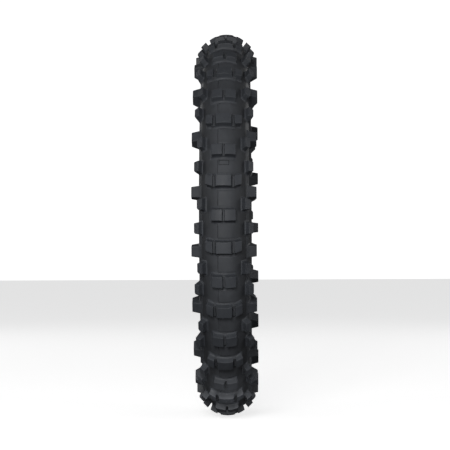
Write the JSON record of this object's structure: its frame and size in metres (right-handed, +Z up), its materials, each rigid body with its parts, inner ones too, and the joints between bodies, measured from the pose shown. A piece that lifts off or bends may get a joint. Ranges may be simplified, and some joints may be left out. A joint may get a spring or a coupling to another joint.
{
  "type": "motorcycle tyre",
  "caption": "Narrow off-road motorcycle front tyre with a knobbly directional tread, shown bare without a wheel, with its plies, liner and wire beads inside",
  "frame": {"origin": "the wheel centre, on the spin axis in the tyre's mid-plane", "axes": "+Y is the spin axis, +Z is up, and +X faces forward, towards the tread seen in the picture"},
  "size_m": [0.6698, 0.1064, 0.6699],
  "materials": {
    "tread_rubber": "matt",
    "sidewall_rubber": "satin",
    "filler_rubber": "matt",
    "liner_rubber": "satin",
    "ply_fabric": "matt",
    "bead_wire": "brushed"
  },
  "bodies": {
    "root": {"tread_base": "tread_rubber", "centre_blocks": "tread_rubber", "row_end_blocks_left": "tread_rubber", "row_end_blocks_right": "tread_rubber", "row_tie_bars": "tread_rubber", "pair_blocks_left": "tread_rubber", "pair_blocks_right": "tread_rubber", "pair_tie_bars": "tread_rubber", "inner_shoulder_knobs_left": "tread_rubber", "inner_shoulder_knobs_right": "tread_rubber", "outer_shoulder_knobs_left": "tread_rubber", "outer_shoulder_knobs_right": "tread_rubber", "side_lugs_left": "sidewall_rubber", "side_lugs_right": "sidewall_rubber", "sidewall_left": "sidewall_rubber", "sidewall_right": "sidewall_rubber", "chafer_left": "sidewall_rubber", "chafer_right": "sidewall_rubber", "bead_filler_left": "filler_rubber", "bead_filler_right": "filler_rubber", "inner_liner": "liner_rubber", "breaker_ply": "ply_fabric", "outer_casing_ply": "ply_fabric", "inner_casing_ply": "ply_fabric", "bead_core_left": "bead_wire", "bead_core_right": "bead_wire"}
  },
  "joints": []
}
